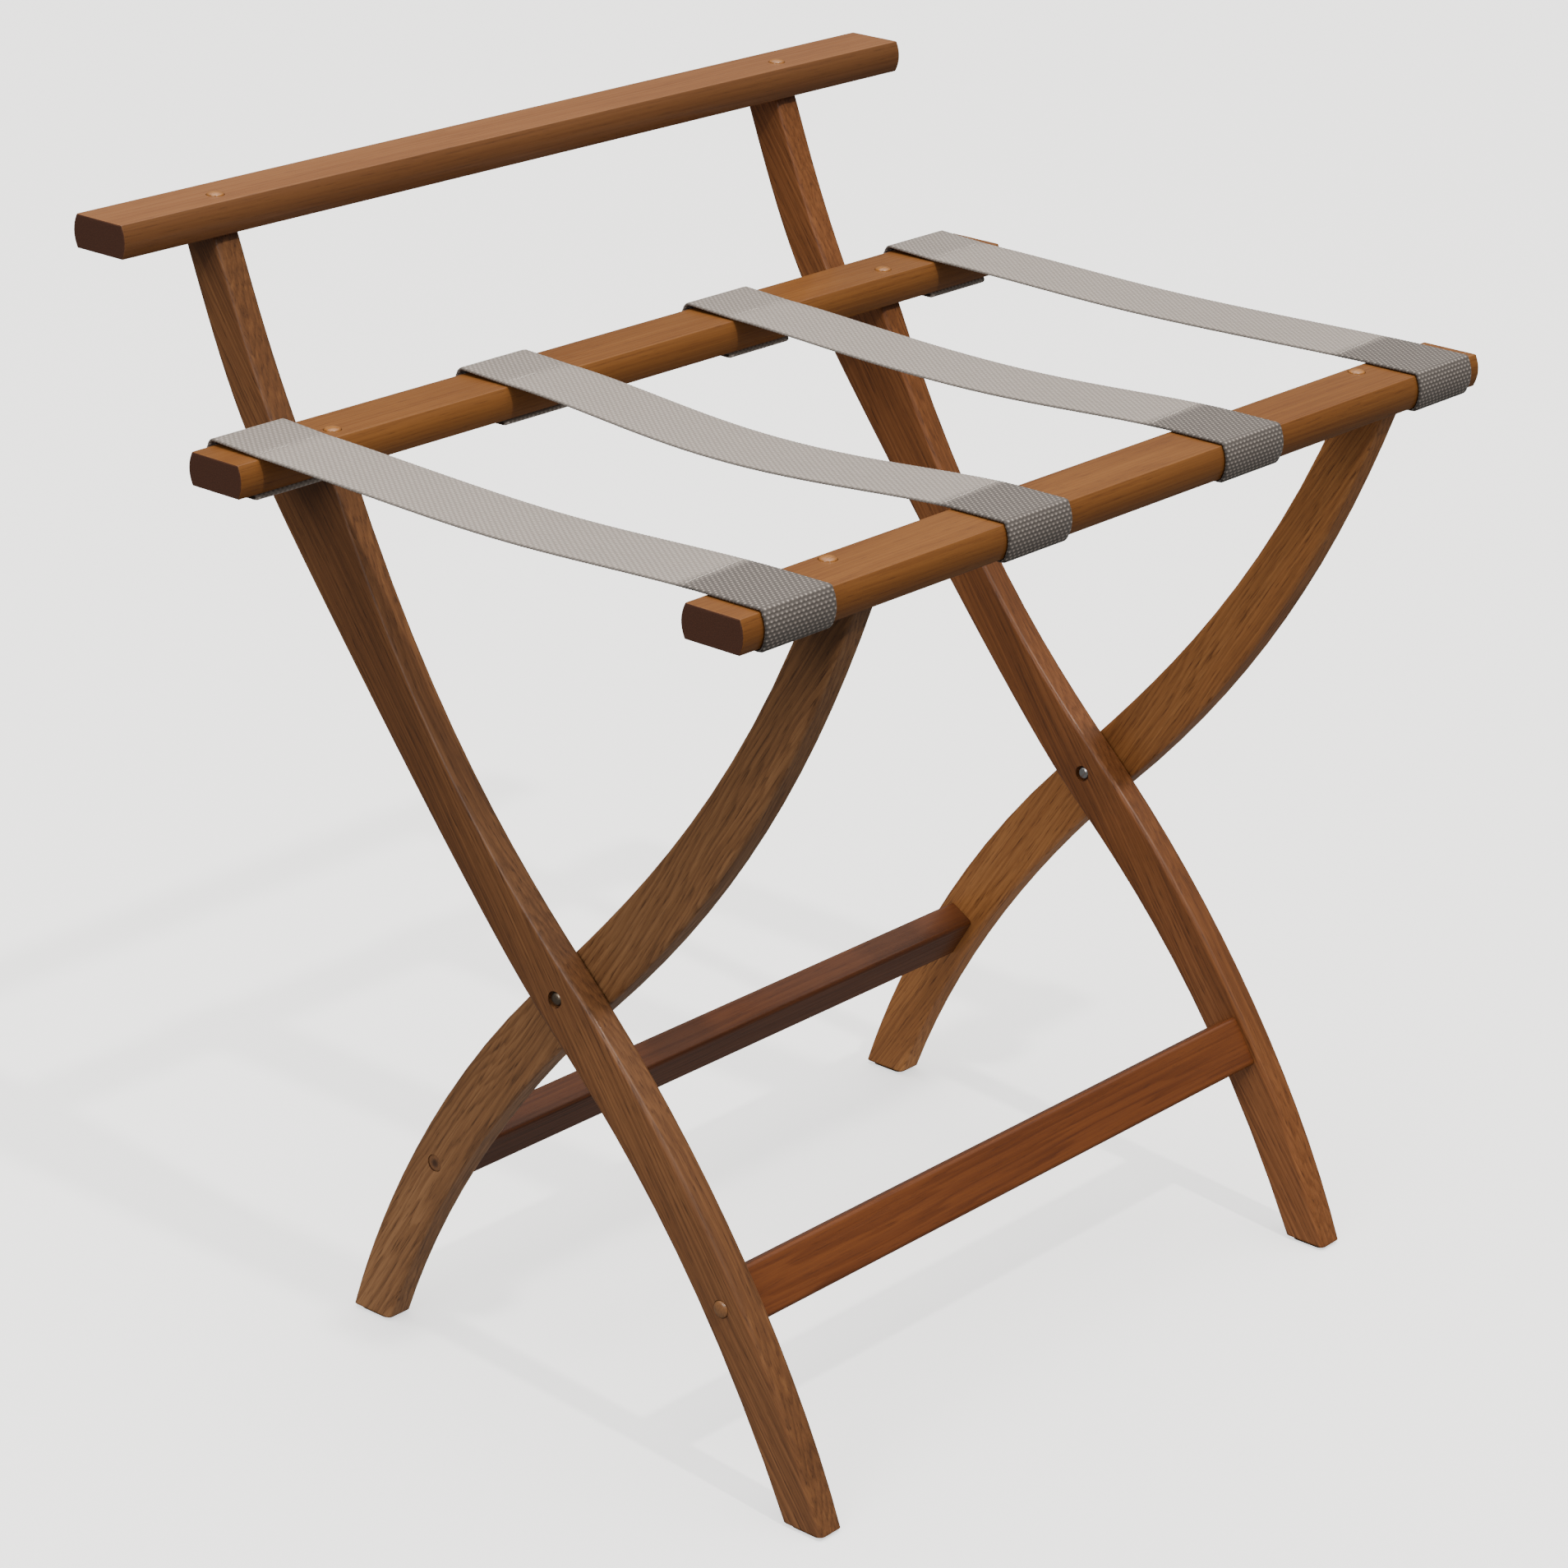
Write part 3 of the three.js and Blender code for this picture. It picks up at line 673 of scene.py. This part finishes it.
def strap_line(sag):
    """The strap's middle line in (y, z): under, round and over the front rail, across, and back."""
    front, rear = rail_frame("front_seat_rail"), rail_frame("rear_seat_rail")
    out = STRAP_GAP + STRAP_THICK / 2
    inner = UNDER - RAIL_FLAT / 2
    line = hem(front["y"] + inner, front["low"] - out, 1) + outer_side(front, -1, out)
    start = (front["y"] + RAIL_FLAT / 2, front["top"] + out)
    end = (rear["y"] - RAIL_FLAT / 2, rear["top"] + out)
    for i in range(SPAN_STEPS + 1):
        t = i / SPAN_STEPS
        dip = sag * math.sin(math.pi * t) ** 1.5
        line.append((start[0] + (end[0] - start[0]) * t, start[1] + (end[1] - start[1]) * t - dip))
    line += outer_side(rear, 1, out + REAR_SLACK)[::-1]
    line += hem(rear["y"] - inner, rear["low"] - out, -1)[::-1]
    return np.array(line)


def evenly(line, step):
    """The line again with points about a step apart, and each point's distance along it."""
    gaps = np.hypot(*np.diff(line, axis=0).T)
    reach = np.concatenate([[0], np.cumsum(gaps)])
    count = int(round(reach[-1] / step))
    places = np.linspace(0, reach[-1], count + 1)
    return np.stack([np.interp(places, reach, line[:, k]) for k in (0, 1)], axis=1), places


def tube_faces(rows, ring, flip=False):
    """Faces of a closed tube of rows, each a ring of points, with its two ends capped."""
    faces = []
    for i in range(rows - 1):
        for k in range(ring):
            a, b = i * ring + k, i * ring + (k + 1) % ring
            faces.append([a, a + ring, b + ring, b] if flip else [a, b, b + ring, a + ring])
    near, far = list(range(ring)), [(rows - 1) * ring + k for k in range(ring)]
    return faces + ([near, far[::-1]] if flip else [near[::-1], far])


def strap_path(sag):
    """Evenly spaced points of the strap's middle line, its normals and the distances along it."""
    line, places = evenly(strap_line(sag), PICK / 4)
    tangent = np.gradient(line, axis=0)
    tangent /= np.linalg.norm(tangent, axis=1)[:, None]
    return line, np.stack([-tangent[:, 1], tangent[:, 0]], axis=1), places


def band(path, x, width, seam_front, seam_rear):
    """A woven band along the path: ribbed faces and scalloped selvedges, with its weave values."""
    line, normal, places = path
    rows = np.cos(2 * np.pi * places / PICK)
    wander = 0.35 * MM * np.sin(places / (61 * MM) + x * 40)
    wander = wander + 0.2 * MM * np.sin(places / (23 * MM) + x * 90)
    # how far the weave opens, which also paints shade on the strap round the rails
    opened_and_shaded = np.clip((seam_front - line[:, 0]) / WEAVE_BLEND + 0.5, 0, 1)
    opened_and_shaded += REAR_OPENING_AND_SHADE * np.clip((line[:, 0] - seam_rear) / WEAVE_BLEND + 0.5, 0, 1)
    points, weave = [], []
    for i in range(len(line)):
        for face in (1, -1):
            for k in range(len(COLUMNS))[::face]:
                across = COLUMNS[k] * width / 2
                if abs(COLUMNS[k]) > SELVEDGE:
                    across += math.copysign(SCALLOP * rows[i], COLUMNS[k])
                rise = face * (STRAP_THICK / 2 - RIB + RIB * rows[i]) * PLUMP[k]
                y, z = line[i] + normal[i] * rise
                points.append((x + across + wander[i], y, z))
                weave.append((across + (0.0 if face > 0 else YARN / 2), places[i], opened_and_shaded[i]))
    return points, tube_faces(len(line), 2 * len(COLUMNS)), weave


def stitch(start, end):
    """One thread stitch: a short arch from start to end, sunk at both ends."""
    sides, rings = 8, 7
    start, end, lift = Vector(start), Vector(end), Vector(STITCH_LIFT)
    up = lift.normalized()
    side = (end - start).normalized().cross(up)
    points = []
    for i in range(rings):
        t = i / (rings - 1)
        centre = start.lerp(end, t) + lift * (math.sin(math.pi * t) - 0.35)
        r = STITCH_RADIUS * (0.35 + 0.65 * math.sin(math.pi * min(max(t, 0.08), 0.92)) ** 0.5)
        for k in range(sides):
            a = 2 * math.pi * k / sides
            points.append(centre + side * r * math.cos(a) + up * r * math.sin(a))
    return points, tube_faces(rings, sides, flip=True)


def seam(path, x, width, y_seam, slant):
    """A row of lockstitches across the strap's top face at depth y_seam."""
    line, normal, _ = path
    top = [i for i in range(len(line)) if normal[i][1] > 0.8]
    pitch = (width - 2 * STITCH_MARGIN) / STITCHES
    points, faces = [], []
    for n in range(STITCHES):
        ends = []
        for share in STITCH_SPAN:
            across = x - width / 2 + STITCH_MARGIN + (n + share) * pitch
            y = y_seam + slant * (across - x)
            i = min(top, key=lambda j: abs(line[j][0] - y))
            here = line[i] + normal[i] * (STRAP_THICK / 2)
            ends.append((across, y, float(here[1])))
        more_points, more_faces = stitch(*ends)
        faces += [[v + len(points) for v in f] for f in more_faces]
        points += more_points
    return points, faces


def strap_mesh(name, path, x, width, seam_front, seam_rear):
    """The band and its two seams as one mesh: material 0 is the cloth and 1 the thread."""
    points, faces, weave = band(path, x, width, seam_front, seam_rear)
    cloth_faces = len(faces)
    for y_seam, slant in ((seam_rear, SEAM_SLANTS["rear"]), (seam_front, SEAM_SLANTS["front"])):
        more_points, more_faces = seam(path, x, width, y_seam, slant)
        faces += [[v + len(points) for v in f] for f in more_faces]
        points += more_points
        weave += [(0.0, 0.0, 0.0)] * len(more_points)
    mesh = mesh_from(name, points, faces)
    attribute = mesh.attributes.new("weave", "FLOAT_VECTOR", "POINT")
    attribute.data.foreach_set("vector", np.array(weave, np.float32).ravel())
    smooth_by_angle(mesh, 60)
    mesh.polygons.foreach_set("material_index", [int(i >= cloth_faces) for i in range(len(faces))])
    return mesh


def add_strap(number, cloth, cotton):
    node = f"strap_{number}"
    low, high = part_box(node)
    x = (low.x + high.x) / 2
    width = high.x - low.x - EDGE_ROOM
    front, rear = rail_frame("front_seat_rail"), rail_frame("rear_seat_rail")
    inner_front = front["y"] + RAIL_FLAT / 2 + RAIL_EDGE
    inner_rear = rear["y"] - RAIL_FLAT / 2 - RAIL_EDGE
    path = strap_path(SAG[number - 1])
    seam_front = inner_front + SEAM_FROM_RAIL[number - 1]
    seam_rear = inner_rear + REAR_SEAM_FROM_RAIL
    mesh = strap_mesh(node + "_woven", path, x, width, seam_front, seam_rear)
    mesh.materials.append(cloth)
    mesh.materials.append(cotton)
    piece = new_object(node + "_woven", mesh)
    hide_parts(node)
    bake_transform(piece)


def straps():
    cloth, cotton = webbing(), thread()
    for number in range(1, 5):
        add_strap(number, cloth, cotton)


# ---------- stage ----------
def area_light(name, place, aim, size, power, color=(1, 1, 1)):
    data = bpy.data.lights.new(name, "AREA")
    data.shape = "DISK"
    data.size = size
    data.energy = power
    data.color = color
    light = bpy.data.objects.new(name, data)
    bpy.context.scene.collection.objects.link(light)
    light.location = place
    light.rotation_euler = (Vector(place) - Vector(aim)).to_track_quat("Z", "Y").to_euler()
    return light


def stage():
    bpy.ops.mesh.primitive_plane_add(size=FLOOR_SIZE, location=(0, 0, 0))
    floor = bpy.context.object
    floor.name = "floor"
    t = Tree("floor_pale")
    place = t.add("TexCoord").outputs["Object"]
    pale = t.mix(t.noise(place, 3, 2), srgb(245, 245, 245), srgb(249, 249, 249))
    t.set(Base_Color=pale, Roughness=0.9)
    t.set(Emission_Color=grey(1), Emission_Strength=FLOOR_LIFT)
    floor.data.materials.append(t.material)
    floor.visible_diffuse = False
    floor.visible_glossy = False

    area_light("key", LIGHT_AIM + KEY_DIRECTION * KEY_DISTANCE, LIGHT_AIM, **KEY)
    fill = area_light("fill", **FILL)
    fill.visible_camera = False
    glow = area_light("floor_glow", **FLOOR_GLOW)
    glow.visible_camera = False
    glow.visible_glossy = False
    sky()


def sky():
    """Soft light mostly from overhead, dim at eye level, with a plain pale backdrop behind."""
    world = bpy.data.worlds.new("studio")
    world.use_nodes = True
    bpy.context.scene.world = world
    nodes, links = world.node_tree.nodes, world.node_tree.links

    def math_node(operation, a, b):
        node = nodes.new("ShaderNodeMath")
        node.operation = operation
        links.new(a, node.inputs[0])
        node.inputs[1].default_value = b
        return node.outputs[0]

    split = nodes.new("ShaderNodeSeparateXYZ")
    links.new(nodes.new("ShaderNodeTexCoord").outputs["Generated"], split.inputs[0])
    height = math_node("POWER", math_node("MAXIMUM", split.outputs["Z"], 0.0), SKY_FALL)
    strength = math_node("ADD", math_node("MULTIPLY", height, SKY_OVERHEAD), SKY_ALL_ROUND)
    light = nodes["Background"]
    light.inputs["Color"].default_value = SKY
    links.new(strength, light.inputs["Strength"])
    backdrop = nodes.new("ShaderNodeBackground")
    backdrop.inputs["Color"].default_value = grey(1)
    backdrop.inputs["Strength"].default_value = BACKDROP
    mix = nodes.new("ShaderNodeMixShader")
    links.new(nodes.new("ShaderNodeLightPath").outputs["Is Camera Ray"], mix.inputs["Fac"])
    links.new(light.outputs[0], mix.inputs[1])
    links.new(backdrop.outputs[0], mix.inputs[2])
    links.new(mix.outputs[0], nodes["World Output"].inputs["Surface"])


def camera():
    data = bpy.data.cameras.new("camera")
    data.sensor_width = 36
    data.lens = CAMERA_LENS
    data.shift_x, data.shift_y = CAMERA_SHIFT
    data.clip_end = 50
    view = bpy.data.objects.new("camera", data)
    bpy.context.scene.collection.objects.link(view)
    back = Vector((math.sin(CAMERA_AZIMUTH) * math.cos(CAMERA_ELEVATION),
                   -math.cos(CAMERA_AZIMUTH) * math.cos(CAMERA_ELEVATION),
                   math.sin(CAMERA_ELEVATION)))
    level = Vector((0, 0, 1)).cross(back).normalized()
    up = back.cross(level)
    right = level * math.cos(CAMERA_ROLL) + up * math.sin(CAMERA_ROLL)
    up = back.cross(right)
    turn = Matrix((right, up, back)).transposed()
    view.matrix_world = Matrix.Translation(CAMERA_PLACE) @ turn.to_4x4()
    bpy.context.scene.camera = view


camera()
stage()
legs()
bars()
plugs()
pivots()
hardware()
straps()
